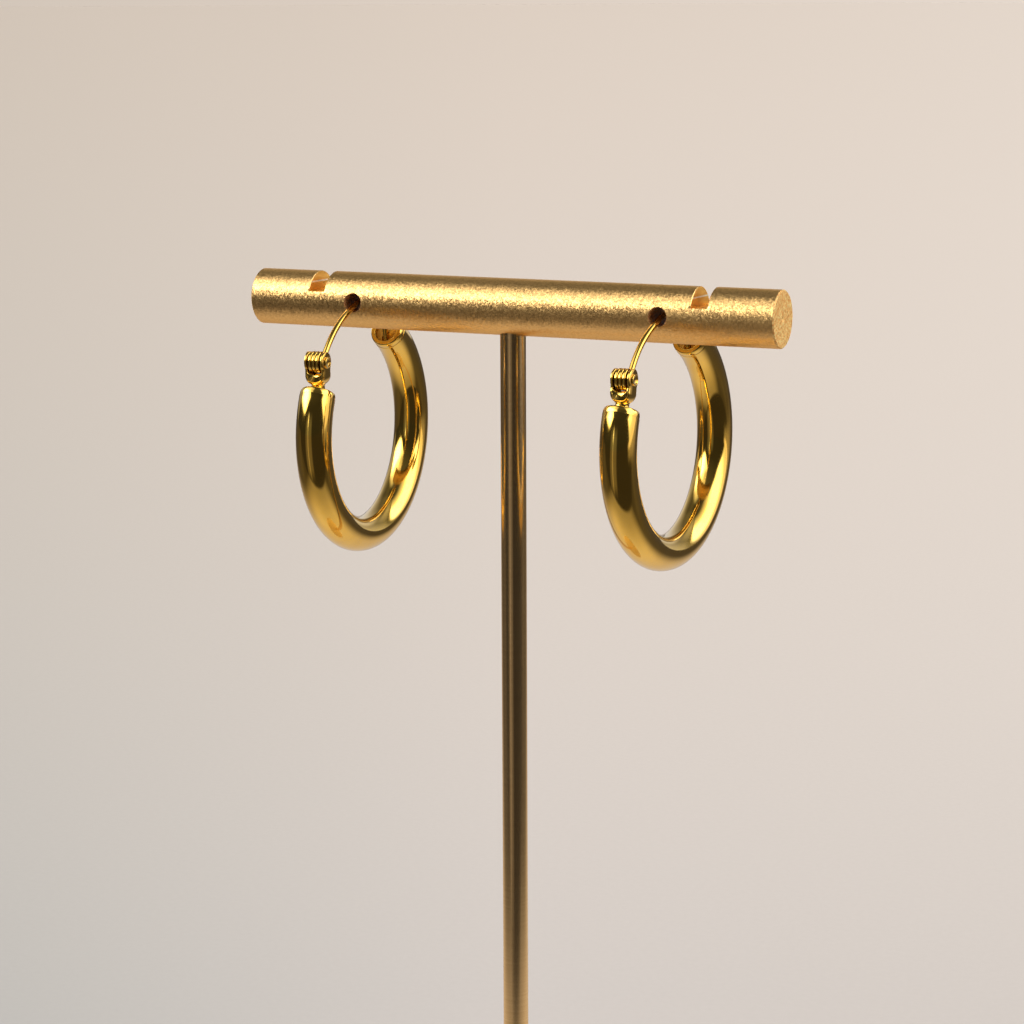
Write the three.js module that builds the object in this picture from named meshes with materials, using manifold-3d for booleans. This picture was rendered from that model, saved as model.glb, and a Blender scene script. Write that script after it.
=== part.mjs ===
// A pair of hinged tube hoop earrings on a T-bar display stand.
// Units are millimetres, +Z is up, and the origin is the middle of the stand's underside.
// The bar lies along X. Each hoop hangs in a plane close to YZ, with its hinge at the front (-Y).
import * as THREE from 'three';
import { mergeVertices } from 'three/addons/utils/BufferGeometryUtils.js';
import Module from 'manifold-3d';

const wasm = await Module();
wasm.setup();

const DEG = Math.PI / 180;
const HOOP_SIDES = 18;

// ---- stand ----------------------------------------------------------------
const BASE = { radius: 25, height: 4, chamfer: 0.5 };
const BAR = { axisZ: 117, radius: 2.95, length: 58.9, chamfer: 0.12 };
const POST = { radius: 1.345, socketRadius: 1.445, intoBase: 2.5, intoBar: 1.5, endGap: 0.15 };
const BORE = { x: 17.2, radius: 0.97 }; // through-holes along Y that the ear wires pass through
const SLOT = { x: 21.56, width: 1.8, floorAboveAxis: 1.0 }; // saw cuts across the top of the bar

// ---- earring --------------------------------------------------------------
// Angles round a hoop start at its front and rise over its top to its back.
const HOOP = { radius: 11.32, tube: 1.87, wall: 0.35, frontAngle: 25.8, backAngle: 117.5 };
const CAP = { length: 0.7, overlap: 0.3, step: 0.02, rimIn: 0.2, rimDown: 0.5, thickness: 0.45 };
const RECESS = { radius: 1.3, depth: 0.35 }; // in the back cap
const FORK = { width: 2.24, gap: 1.42, headRadius: 1.08, waist: 0.84, foot: 0.74, drop: 2.35 };
const CROTCH = { from: 0.95, to: 1.3 }; // the gap between the fork's legs rounds off below the pin
const NECK = { radius: 0.5, intoCap: 0.3, intoFork: 0.3 };
const PIN = { radius: 0.25, hole: 0.29, headRadius: 0.6, headHeight: 0.18, headGap: 0.05 };
const KNUCKLE = { width: 1.28, radius: 1.12, bore: 0.31, ridges: 3, groove: 0.18 };
const WIRE = { radius: 0.31, sides: 8, steps: 46, leaveAngle: 50.5, tipDepth: 1.25 };
const FOOT = { x: 0.12, y: 0.58, z: -0.26 }; // the wire's start inside the knuckle, from the pin
const SHOULDER = { x: 0.12, y: 1.73, z: 1.1 }; // the end of the straight part above it, from the pin
const HANDLES = { foot: 0.5, shoulder: 3.3, frontMouth: 1.1, crown: 2.0, backMouth: 1.8, tip: 2.0 };
const CATCH = { radius: 0.42, reach: 2.4 }; // slanting hole in the back cap for the wire's tip

// Where each earring hangs: the hoop's centre, its turn about the vertical, its lean and its swing in
// its own plane (degrees), the hinge pin's centre in the hoop's plane, and its wire's place in the bore.
const RIGHT = {
  side: 'right',
  centre: [17.14, 0.42, 103.87],
  yaw: -4.1,
  lean: -1.1,
  swing: -1.5,
  pinY: -9.55,
  pinZ: 7.85,
  wireX: BORE.x - 0.08,
};
const LEFT = {
  side: 'left',
  centre: [-17.32, -0.44, 103.38],
  yaw: 0.5,
  lean: -0.3,
  swing: 1.5,
  pinY: -10.35,
  pinZ: 8.0,
  wireX: -BORE.x - 0.12,
};
const MOUTH = { y: 2.85, frontZ: -0.57, backZ: -0.54, climb: 22, fall: 27 }; // the wire in the bore

const GOLD = { color: 0xd9b04a, roughness: 0.12, metalness: 1.0 };
const BLASTED = { color: 0xc9a26a, roughness: 0.42, metalness: 1.0 };
const SATIN = { color: 0xb58a55, roughness: 0.3, metalness: 1.0 };

// ---- solids ---------------------------------------------------------------
function solid(geometry) {
  const bare = geometry.clone();
  bare.deleteAttribute('normal');
  bare.deleteAttribute('uv');
  const merged = mergeVertices(bare, 1e-5);
  return new wasm.Manifold(new wasm.Mesh({
    numProp: 3,
    vertProperties: new Float32Array(merged.attributes.position.array),
    triVerts: new Uint32Array(merged.index.array),
  }));
}

function geometryOf(manifold) {
  const mesh = manifold.getMesh();
  const geometry = new THREE.BufferGeometry();
  geometry.setAttribute('position', new THREE.BufferAttribute(new Float32Array(mesh.vertProperties), 3));
  geometry.setIndex(new THREE.BufferAttribute(new Uint32Array(mesh.triVerts), 1));
  return geometry;
}

function named(name, geometry, finish) {
  const mesh = new THREE.Mesh(geometry, new THREE.MeshStandardMaterial(finish));
  mesh.name = name;
  return mesh;
}

// A turned solid about Z from its [radius, height] points, first and last on the axis.
function turned(points, sides) {
  const profile = points.map(([r, z]) => new THREE.Vector2(r, z));
  return new THREE.LatheGeometry(profile, sides).rotateX(Math.PI / 2);
}

// A plain round bar from z0 to z1.
function rod(radius, z0, z1, sides) {
  return turned([[0, z0], [radius, z0], [radius, z1], [0, z1]], sides);
}

function circle(radius) {
  return new THREE.Shape().absarc(0, 0, radius, 0, 2 * Math.PI, false);
}

// ---- stand pieces ---------------------------------------------------------
function standBase() {
  const { radius, height, chamfer } = BASE;
  const disc = turned([[0, 0], [radius - chamfer, 0], [radius, chamfer], [radius, height - chamfer],
    [radius - chamfer, height], [0, height]], 72);
  const socket = rod(POST.socketRadius, height - POST.intoBase - POST.endGap, height + 1, 24);
  return named('stand_base', geometryOf(solid(disc).subtract(solid(socket))), BLASTED);
}

function standPost() {
  const z0 = BASE.height - POST.intoBase;
  const z1 = BAR.axisZ - BAR.radius + POST.intoBar;
  return named('stand_post', rod(POST.radius, z0, z1, 24), SATIN);
}

function standBar() {
  const { radius, length, chamfer } = BAR;
  const half = length / 2;
  const round = turned([[0, -half], [radius - chamfer, -half], [radius, -half + chamfer],
    [radius, half - chamfer], [radius - chamfer, half], [0, half]], 48).rotateY(Math.PI / 2);
  let bar = solid(round);
  for (const sign of [-1, 1]) {
    const bore = rod(BORE.radius, -radius - 1, radius + 1, 24)
      .rotateX(Math.PI / 2).translate(sign * BORE.x, 0, 0);
    const cut = new THREE.BoxGeometry(SLOT.width, 2 * radius + 2, radius + 1)
      .translate(sign * SLOT.x, 0, SLOT.floorAboveAxis + (radius + 1) / 2);
    bar = bar.subtract(solid(bore)).subtract(solid(cut));
  }
  const socket = rod(POST.socketRadius, -radius - 1, -radius + POST.intoBar + POST.endGap, 24);
  bar = bar.subtract(solid(socket));
  const mesh = named('stand_bar', geometryOf(bar), BLASTED);
  mesh.position.set(0, 0, BAR.axisZ);
  return mesh;
}

// ---- earring pieces, in the hoop's own frame --------------------------------
// X is across the hoop's plane, Y to the back, Z up, and the origin is the hoop's centre.
function onHoop(angle, radius = HOOP.radius) {
  return new THREE.Vector3(0, -radius * Math.cos(angle), radius * Math.sin(angle));
}

class HoopArc extends THREE.Curve {
  constructor(from, to) {
    super();
    this.from = from;
    this.to = to;
  }

  getPoint(t, target = new THREE.Vector3()) {
    return target.copy(onHoop(this.from + (this.to - this.from) * t));
  }
}

function hoopTube(radius, from, to, sides, steps) {
  return new THREE.ExtrudeGeometry(circle(radius),
    { steps, curveSegments: sides / 2, extrudePath: new HoopArc(from, to) });
}

// Puts something drawn along +Z at an end of the tube, with +Z pointing out of the tube.
function atEnd(geometry, angle, outSign) {
  const out = new THREE.Vector3(0, Math.sin(angle), Math.cos(angle)).multiplyScalar(outSign);
  const turn = new THREE.Quaternion().setFromUnitVectors(new THREE.Vector3(0, 0, 1), out);
  const place = onHoop(angle);
  return geometry.applyQuaternion(turn).translate(place.x, place.y, place.z);
}

function capBody() {
  const r = HOOP.tube - CAP.step;
  const rim = [0, 30, 60, 90].map((a) => [
    r - CAP.rimIn * (1 - Math.cos(a * DEG)),
    -CAP.rimDown * (1 - Math.sin(a * DEG)),
  ]);
  const inner = -CAP.length - CAP.overlap;
  return turned([[0, inner], [r, inner], ...rim, [0, 0]], HOOP_SIDES);
}

// The U-shaped hinge fork: its front outline and its side outline, one cut by the other.
// Its frame has the pin's axis along X through the origin, with the fork's foot below it on -Z.
function hingeFork() {
  const outer = FORK.width / 2;
  const inner = FORK.gap / 2;
  const head = FORK.headRadius;
  const front = new THREE.Shape();
  front.moveTo(outer, head + 0.2);
  front.lineTo(inner, head + 0.2);
  front.lineTo(inner, -CROTCH.from);
  front.absellipse(0, -CROTCH.from, inner, CROTCH.to - CROTCH.from, 0, -Math.PI, true);
  front.lineTo(-inner, head + 0.2);
  front.lineTo(-outer, head + 0.2);
  front.lineTo(-outer, -FORK.drop + outer);
  front.absarc(0, -FORK.drop + outer, outer, Math.PI, 2 * Math.PI, false);
  const uShape = new THREE.ExtrudeGeometry(front, { depth: 4, bevelEnabled: false, curveSegments: 8 })
    .translate(0, 0, -2).rotateX(Math.PI / 2);
  const side = new THREE.Shape();
  side.moveTo(-FORK.foot, -FORK.drop - 0.2);
  side.lineTo(FORK.foot, -FORK.drop - 0.2);
  side.lineTo(FORK.waist, -FORK.drop + 0.9);
  side.absarc(0, 0, head, -35 * DEG, 215 * DEG, false);
  side.lineTo(-FORK.waist, -FORK.drop + 0.9);
  const depth = FORK.width + 1;
  const sideShape = new THREE.ExtrudeGeometry(side, { depth, bevelEnabled: false, curveSegments: 12 })
    .translate(0, 0, -depth / 2).rotateX(Math.PI / 2).rotateZ(Math.PI / 2);
  const hole = rod(PIN.hole, -FORK.width, FORK.width, 16).rotateY(Math.PI / 2);
  return solid(uShape).intersect(solid(sideShape)).subtract(solid(hole));
}

// The fork stands on the middle of the front cap and leans to where the pin is.
function forkFrame(earring) {
  const foot = onHoop(HOOP.frontAngle * DEG);
  const pin = new THREE.Vector3(0, earring.pinY, earring.pinZ);
  const up = pin.clone().sub(foot);
  return { pin, reach: up.length(), tilt: Math.atan2(-up.y, up.z) };
}

// Where the wire's tip rests inside the back cap, and its way in: along the circle about the pin.
function catchPlace(earring) {
  const { pin } = forkFrame(earring);
  const face = onHoop(HOOP.backAngle * DEG).add(new THREE.Vector3(0, -0.1, -0.2));
  const arm = face.clone().sub(pin);
  const down = new THREE.Vector3(0, arm.z, -arm.y).normalize();
  return { face, down, tip: face.clone().addScaledVector(down, WIRE.tipDepth) };
}

function hoop(earring) {
  const front = HOOP.frontAngle * DEG;
  const back = HOOP.backAngle * DEG;
  const trim = CAP.length / HOOP.radius;
  const cavity = (CAP.length + CAP.thickness) / HOOP.radius;
  const backCavity = (RECESS.depth + CAP.thickness) / HOOP.radius;
  const end = back - 2 * Math.PI;
  let body = solid(hoopTube(HOOP.tube, front - trim, end + trim, HOOP_SIDES, 42));
  body = body.add(solid(atEnd(capBody(), front, 1))).add(solid(atEnd(capBody(), back, -1)));
  const { pin, reach, tilt } = forkFrame(earring);
  const neck = rod(NECK.radius, -reach - NECK.intoCap, -FORK.drop + NECK.intoFork, 16);
  const fork = hingeFork().add(solid(neck).subtract(solid(rod(FORK.width, -FORK.drop + 0.2, 4, 16))));
  body = body.add(fork.rotate([tilt / DEG, 0, 0]).translate([0, pin.y, pin.z]));
  const hollow = hoopTube(HOOP.tube - HOOP.wall, front - cavity, end + backCavity, 10, 36);
  body = body.subtract(solid(hollow));
  body = body.subtract(solid(atEnd(rod(RECESS.radius, -RECESS.depth, 1, 18), back, -1)));
  const { face, down } = catchPlace(earring);
  const hole = rod(CATCH.radius, -WIRE.tipDepth - 0.3, CATCH.reach, 14)
    .applyQuaternion(new THREE.Quaternion().setFromUnitVectors(new THREE.Vector3(0, 0, -1), down))
    .translate(face.x, face.y, face.z);
  body = body.subtract(solid(hole));
  return named(`${earring.side}_hoop`, geometryOf(body), GOLD);
}

function hingePin(earring) {
  const { pin } = forkFrame(earring);
  const end = FORK.width / 2 + PIN.headGap;
  const h = PIN.headHeight;
  const head = [[PIN.radius, end], [PIN.headRadius, end], [PIN.headRadius * 0.86, end + h * 0.6],
    [0, end + h]];
  const mirrored = head.slice().reverse().map(([r, z]) => [r, -z]);
  const shape = turned([...mirrored, ...head], 14).rotateY(Math.PI / 2);
  const mesh = named(`${earring.side}_hinge_pin`, shape, GOLD);
  mesh.position.copy(pin);
  return mesh;
}

// The knuckle at the wire's foot: a ring about the pin with rounded ridges round it.
function knuckle() {
  const half = KNUCKLE.width / 2;
  const count = 4 * KNUCKLE.ridges;
  const profile = [[KNUCKLE.bore, -half]];
  for (let i = 0; i <= count; i += 1) {
    const s = i / count;
    const swell = Math.abs(Math.sin(Math.PI * KNUCKLE.ridges * s));
    profile.push([KNUCKLE.radius - KNUCKLE.groove * (1 - swell), -half + KNUCKLE.width * s]);
  }
  profile.push([KNUCKLE.bore, half], [KNUCKLE.bore, -half]);
  return solid(turned(profile, 20).rotateY(Math.PI / 2));
}

// A path made of cubic spans joined end to end with shared tangents.
class WirePath extends THREE.Curve {
  constructor(spans) {
    super();
    this.spans = spans;
    this.arcLengthDivisions = 400;
  }

  getPoint(t, target = new THREE.Vector3()) {
    const s = Math.min(t * this.spans.length, this.spans.length - 1e-9);
    const i = Math.floor(s);
    return this.spans[i].getPoint(s - i, target);
  }
}

// One cubic span between two points, with its slopes given as unit directions and its handles' lengths.
function span(a, dirA, handleA, b, dirB, handleB) {
  return new THREE.CubicBezierCurve3(a, a.clone().addScaledVector(dirA, handleA),
    b.clone().addScaledVector(dirB, -handleB), b);
}

// The wire leaves the knuckle's back, climbs to the bore's front mouth, runs over a low crown inside the
// bar and drops from the back mouth into the catch. Worked out in the frame of the stand.
function earWire(earring, group) {
  const { pin } = forkFrame(earring);
  const { down, tip } = catchPlace(earring);
  const slope = (degrees) => new THREE.Vector3(0, Math.cos(degrees * DEG), Math.sin(degrees * DEG));
  const toStand = (v) => v.clone().applyMatrix4(group.matrixWorld);
  const turn = (v) => v.clone().transformDirection(group.matrixWorld);
  const foot = toStand(pin.clone().add(new THREE.Vector3(FOOT.x, FOOT.y, FOOT.z)));
  const shoulder = toStand(pin.clone().add(new THREE.Vector3(SHOULDER.x, SHOULDER.y, SHOULDER.z)));
  const frontMouth = new THREE.Vector3(earring.wireX, -MOUTH.y, BAR.axisZ + MOUTH.frontZ);
  const backMouth = new THREE.Vector3(earring.wireX, MOUTH.y, BAR.axisZ + MOUTH.backZ);
  const leave = turn(slope(WIRE.leaveAngle));
  const climb = slope(MOUTH.climb);
  const fall = slope(-MOUTH.fall);
  const h = HANDLES;
  const path = new WirePath([
    span(foot, leave, h.foot, shoulder, leave, h.foot),
    span(shoulder, leave, h.shoulder, frontMouth, climb, h.frontMouth),
    span(frontMouth, climb, h.crown, backMouth, fall, h.crown),
    span(backMouth, fall, h.backMouth, toStand(tip), turn(down), h.tip),
  ]);
  const wire = new THREE.ExtrudeGeometry(circle(WIRE.radius),
    { steps: WIRE.steps, curveSegments: WIRE.sides / 2, extrudePath: path });
  const ring = geometryOf(knuckle()).translate(pin.x, pin.y, pin.z).applyMatrix4(group.matrixWorld);
  return named(`${earring.side}_ear_wire`, geometryOf(solid(wire).add(solid(ring))), GOLD);
}

// ---- assembly -------------------------------------------------------------
const assembly = new THREE.Group();
assembly.add(standBase(), standPost(), standBar());
for (const earring of [RIGHT, LEFT]) {
  const hung = new THREE.Group();
  hung.position.set(...earring.centre);
  hung.rotation.set(-earring.swing * DEG, earring.lean * DEG, earring.yaw * DEG, 'ZYX');
  hung.updateMatrixWorld(true);
  hung.add(hoop(earring), hingePin(earring));
  assembly.add(hung, earWire(earring, hung));
}

export default assembly;
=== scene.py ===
import math

import bmesh
import bpy
import numpy as np
from mathutils import Matrix


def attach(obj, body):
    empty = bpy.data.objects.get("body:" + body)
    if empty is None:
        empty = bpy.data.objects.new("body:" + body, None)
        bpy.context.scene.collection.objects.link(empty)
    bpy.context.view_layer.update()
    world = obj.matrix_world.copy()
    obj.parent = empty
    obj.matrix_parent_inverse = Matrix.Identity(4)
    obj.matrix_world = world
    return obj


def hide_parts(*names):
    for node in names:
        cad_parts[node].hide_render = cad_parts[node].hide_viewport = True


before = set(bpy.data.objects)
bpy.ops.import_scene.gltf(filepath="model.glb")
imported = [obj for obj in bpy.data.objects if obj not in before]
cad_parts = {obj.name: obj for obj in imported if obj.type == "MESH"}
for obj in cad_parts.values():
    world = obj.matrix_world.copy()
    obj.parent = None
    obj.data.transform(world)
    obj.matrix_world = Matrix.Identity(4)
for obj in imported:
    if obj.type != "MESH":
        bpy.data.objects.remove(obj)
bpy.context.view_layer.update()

# A pair of hinged tube hoop earrings hanging on a T-bar counter stand.
# Shapes are worked out in millimetres in the stand's frame and scaled to metres as they become meshes.
MM = 0.001
MERGE = 2e-7    # metres
TOUCH = 1e-6    # millimetres
X_AXIS = np.array([1.0, 0.0, 0.0])

BASE = dict(radius=25.0, height=4.0, edge=0.5, socket=1.445, socket_depth=2.65, chamfer=0.15)
POST = dict(radius=1.345, low=1.5, high=115.55, edge=0.12)
BAR = dict(z=117.0, radius=2.95, half=29.45, edge=0.12, socket=1.445, socket_depth=1.65)
BORE = dict(x=17.2, radius=0.97, edge=0.05)
SLOT = dict(start=20.66, stop=22.46, floor=1.0, edge=0.06)
LATHE_CENTRE = dict(depth=0.14, spread=0.22, reach=0.6)
BORE_FIELD = dict(half=1.7, angle=30)      # the stretch of skin round each bore and round the socket:
SOCKET_FIELD = dict(half=2.3, angle=40)    # half its length, and half its angle in degrees

HOOP = dict(ring=11.32, tube=1.87, front=25.8, back=117.5 - 360.0)
CAP = dict(length=0.7, radius=1.85, rim_in=0.2, rim_down=0.5, dome=0.07, step_from=0.12, step_to=0.02)
RECESS = dict(radius=1.3, depth=0.35, lip=0.06)
CATCH = dict(radius=0.42, depth=0.35, rings=(0.03, 0.1, 0.2, 0.28, 0.33))
FORK = dict(half=1.12, inner=0.71, head=1.08, head_ends=-35, leg_to=-0.9, drop=2.45, crotch_from=0.85,
            crotch=1.14, squareness=0.82, sides=0.6, faces=0.7)
WAIST = [(-2.45, 0.70), (-2.1, 0.86), (-1.75, 0.90), (-1.5, 0.90), (-1.15, 0.86), (-0.95, 0.84),
         (-0.62, 0.885)]    # half widths of the fork by height from the pin
NECK = dict(radius=0.66, cap_flare=0.24, cap_creep=0.13, fork_flare=0.1, fork_creep=0.12, fork_from=0.16,
            into_cap=0.12, into_fork=0.3)
BEAD = dict(swell=0.16, turn=-2.2, spread=0.8, height=0.2, tall=0.25)
PIN = dict(radius=0.25, head=0.6, height=0.16, roll=0.09, dish=0.13, chamfer=0.03, tuck=0.02)
KNUCKLE = dict(half=0.64, radius=1.12, bore=0.31, shoulder=0.6, ridges=3, groove=0.27, sharpness=4.5,
               fill=0.67, dull_shade_from=0.76)
WIRE = dict(radius=0.31, leave=50.5, tip_depth=1.25, flare=0.07, flare_at=0.45, flare_spread=0.35)
FOOT = np.array([0.12, 0.58, -0.26])
SHOULDER = np.array([0.12, 1.73, 1.1])
MOUTH = dict(y=2.85, front_z=-0.57, back_z=-0.54, climb=22.0, fall=-27.0)
HANDLES = dict(foot=0.5, shoulder=3.3, front_mouth=1.1, crown=2.0, back_mouth=1.8, tip=2.0)

RIGHT = dict(side="right", centre=(17.14, 0.42, 103.87), yaw=-4.1, lean=-1.1, swing=-1.5,
             pin=(0.0, -9.55, 7.85), wire_x=BORE["x"] - 0.08)
LEFT = dict(side="left", centre=(-17.32, -0.44, 103.38), yaw=0.5, lean=-0.3, swing=1.5,
            pin=(0.0, -10.35, 8.0), wire_x=-BORE["x"] - 0.12)


# ---- meshes from grids of points ------------------------------------------
def stacked(*parts):
    """Arrays of matching shapes, stretched to one shape and stacked as coordinates."""
    return np.stack(np.broadcast_arrays(*parts), -1)


def unit(vectors):
    """The same directions at length 1."""
    return vectors / np.linalg.norm(vectors, axis=-1, keepdims=True)


def travelled(path):
    """The length along a path up to each of its points."""
    return np.append(0, np.cumsum(np.linalg.norm(np.diff(path, axis=0), axis=-1)))


def quads(rows, columns, close_rows=False):
    """Corner numbers of a grid's faces: point (i, j) has number i * columns + j. The column after the last
    is the first again, and so is the row after the last where the rows close."""
    i = np.arange(rows if close_rows else rows - 1)[:, None]
    j = np.arange(columns)[None, :]
    next_i = (i + 1) % rows
    next_j = (j + 1) % columns
    corners = [i * columns + j, i * columns + next_j, next_i * columns + next_j, next_i * columns + j]
    return stacked(*corners).reshape(-1, 4)


def skin(points, close_rows=False, keep=None, drawn=None, finish=0):
    """One patch of a piece: its grid of points, its faces, each point's place on the straight blank that it
    was bent from, and each face's finish. keep is a mask of the faces that stay."""
    rows, columns = points.shape[:2]
    faces = quads(rows, columns, close_rows)
    finish = np.broadcast_to(finish, (len(faces) // columns, columns)).ravel()
    if keep is not None:
        faces, finish = faces[keep.ravel()], finish[keep.ravel()]
    blank = points if drawn is None else drawn
    return points.reshape(-1, 3), faces, blank.reshape(-1, 3), finish


def placed(name, data):
    """A new object in the scene."""
    made = bpy.data.objects.new(name, data)
    bpy.context.scene.collection.objects.link(made)
    return made


def piece(name, patches, body, nodes, finishes, crease=40.0):
    """Joins patches into one closed mesh: repeated points at seams and poles are merged and the faces
    turned outwards. Edges sharper than the crease angle stay sharp."""
    start = np.cumsum([0] + [len(p[0]) for p in patches[:-1]])
    points = np.concatenate([p[0] for p in patches]) * MM
    faces = np.concatenate([p[1] + s for p, s in zip(patches, start)])
    drawn = np.concatenate([p[2] for p in patches]) * MM
    mesh = bpy.data.meshes.new(name)
    mesh.from_pydata(points.tolist(), [], faces.tolist())
    for finish in finishes:
        mesh.materials.append(finish)
    mesh.polygons.foreach_set("material_index", np.concatenate([p[3] for p in patches]).astype(np.int32))
    layer = mesh.attributes.new("drawn", "FLOAT_VECTOR", "POINT")
    layer.data.foreach_set("vector", drawn.astype(np.float32).ravel())
    work = bmesh.new()
    work.from_mesh(mesh)
    bmesh.ops.remove_doubles(work, verts=work.verts, dist=MERGE)
    loose = [v for v in work.verts if not v.link_faces]
    bmesh.ops.delete(work, geom=loose, context="VERTS")
    bmesh.ops.recalc_face_normals(work, faces=work.faces)
    work.to_mesh(mesh)
    work.free()
    mesh.shade_smooth()
    mesh.set_sharp_from_angle(angle=math.radians(crease))
    made = placed(name, mesh)
    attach(made, body)
    if nodes:
        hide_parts(*nodes)


def around(count):
    """Angles of a ring's points in radians, the first not repeated at the end."""
    return np.arange(count) * (2 * math.pi / count)


def between(stops, steps):
    """Values that run through the stops in order, with so many steps from each stop to the next."""
    runs = [np.linspace(a, b, n, endpoint=False) for a, b, n in zip(stops[:-1], stops[1:], steps)]
    return np.append(np.concatenate(runs), stops[-1])


def turned(profile, count):
    """A solid of revolution about Z: the point at angle a of profile row (r, z) is (r cos a, r sin a, z)."""
    r, z = np.array(profile, float).T[:, :, None]
    a = around(count)[None, :]
    return stacked(r * np.cos(a), r * np.sin(a), z)


def arc(centre, radii, start, stop, steps):
    """Profile points (cx + rx cos a, cz + rz sin a) with a from start to stop degrees."""
    a = np.radians(np.linspace(start, stop, steps + 1))
    return [(centre[0] + radii[0] * c, centre[1] + radii[1] * s) for c, s in zip(np.cos(a), np.sin(a))]


def onto_x(points):
    """Turns something drawn about Z so that its axis lies along X: (x, y, z) becomes (z, y, -x)."""
    return points[..., [2, 1, 0]] * np.array([1.0, 1.0, -1.0])


# ---- the earring's own frame ------------------------------------------------
# X across the hoop's plane, Y to the back, Z up, the origin at the hoop's centre.
def about_x(a):
    """The matrix that turns by an angle in radians about X."""
    return np.array([[1, 0, 0], [0, math.cos(a), -math.sin(a)], [0, math.sin(a), math.cos(a)]])


def turn_of(earring):
    """The rotation Rz(yaw) Ry(lean) Rx(-swing) that hangs a hoop on the stand."""
    a, b, c = np.radians([-earring["swing"], earring["lean"], earring["yaw"]])
    about_y = np.array([[math.cos(b), 0, math.sin(b)], [0, 1, 0], [-math.sin(b), 0, math.cos(b)]])
    about_z = np.array([[math.cos(c), -math.sin(c), 0], [math.sin(c), math.cos(c), 0], [0, 0, 1]])
    return about_z @ about_y @ about_x(a)


def hang(points, earring):
    """Carries points from the hoop's frame to the stand's: turn, then move to the hoop's centre."""
    return points @ turn_of(earring).T + np.array(earring["centre"])


def ring_point(angle):
    """The point R (0, -cos t, sin t) of the hoop's centre line, t being an angle in degrees from the front,
    rising over the top."""
    t = np.radians(angle)
    return HOOP["ring"] * stacked(0.0, -np.cos(t), np.sin(t))


def ring_ahead(angle):
    """The unit tangent (0, sin t, cos t) at that angle, pointing over the top."""
    t = np.radians(angle)
    return stacked(0.0, np.sin(t), np.cos(t))


def fork_frame(earring):
    """The pin's centre, the distance down to the cap, and the matrix of the fork's lean about X."""
    pin = np.array(earring["pin"])
    up = pin - ring_point(HOOP["front"])
    return pin, float(np.linalg.norm(up)), about_x(math.atan2(-up[1], up[2]))


def catch_place(earring):
    """A point on the catch hole's axis in the back cap and the axis's direction: square to the arm from
    the hinge pin, so the wire's tip swings straight in."""
    face = ring_point(HOOP["back"]) + np.array([0.0, -0.1, -0.2])
    arm = face - np.array(earring["pin"])
    down = np.array([0.0, arm[2], -arm[1]])
    return face, unit(down)


# ---- hoop -------------------------------------------------------------------
def oval_ring(phi, middle, wide=1.0, tall=1.0):
    """The ring wide cos p X + tall sin p E, with E pointing from the hoop's centre to its middle."""
    return (wide * np.cos(phi)[:, None] * X_AXIS
            + tall * np.sin(phi)[:, None] * unit(middle)[..., None, :])


def end_rows(angle, outward, levels, phi):
    """Rings in planes square to the tube's end: middle + out * h + r (cos p X + sin p E), one ring for
    each (r, h)."""
    middle = ring_point(angle)
    r, h = np.array(levels, float).T[:, :, None, None]
    return middle + h * ring_ahead(angle) * outward + r * oval_ring(phi, middle)


def cap_rings(phi):
    """The front cap's rings and the back cap's, from (r, h) levels. The front's dome h = d (1 - (r / r0)^2)
    runs over a rounded rim to a small step down to the tube. The back's levels run from the step over the
    same rim and a lip of quarter circles to the bottom of the recess's wall."""
    rim_in, rim_down, lip = CAP["rim_in"], CAP["rim_down"], RECESS["lip"]
    inner = CAP["radius"] - rim_in
    domed = [(r, CAP["dome"] * (1 - (r / inner) ** 2)) for r in np.linspace(0, inner, 12)[:-1]]
    rim = arc((inner, -rim_down), (rim_in, rim_down), 90, 0, 12)
    shank = [(CAP["radius"], -CAP["length"] + h) for h in (CAP["step_from"], CAP["step_to"])]
    shank.append((HOOP["tube"], -CAP["length"]))
    inside = arc((RECESS["radius"] + lip, -lip), (-lip, lip), 90, 0, 6)
    wall = [(RECESS["radius"], -h) for h in np.linspace(lip, RECESS["depth"], 5)[1:]]
    front = end_rows(HOOP["front"], 1, domed + rim + shank, phi)
    back = end_rows(HOOP["back"], -1, shank[::-1] + rim[::-1] + inside + wall, phi)
    return front, back, len(wall)


def catch_rings(earring, edge, phi):
    """The recess's floor, in straight lines from its edge to the oval where the catch hole's slanting
    cylinder crosses it, then the hole's wall and its closed foot."""
    face, down = catch_place(earring)
    out = -ring_ahead(HOOP["back"])
    centre = ring_point(HOOP["back"])
    depth = (-RECESS["depth"] - (face - centre) @ out) / (down @ out)
    crossing = face + depth * down
    oval = crossing + oval_ring(phi, centre, CATCH["radius"], CATCH["radius"] / abs(down @ out))
    share = np.linspace(0, 1, 9)[1:, None, None]
    floor = edge * (1 - share) + oval * share
    wall = oval + np.array(CATCH["rings"])[:, None, None] * down
    foot = np.broadcast_to(crossing + CATCH["depth"] * down, wall[:1].shape)
    return np.concatenate([floor, wall, foot])


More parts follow.
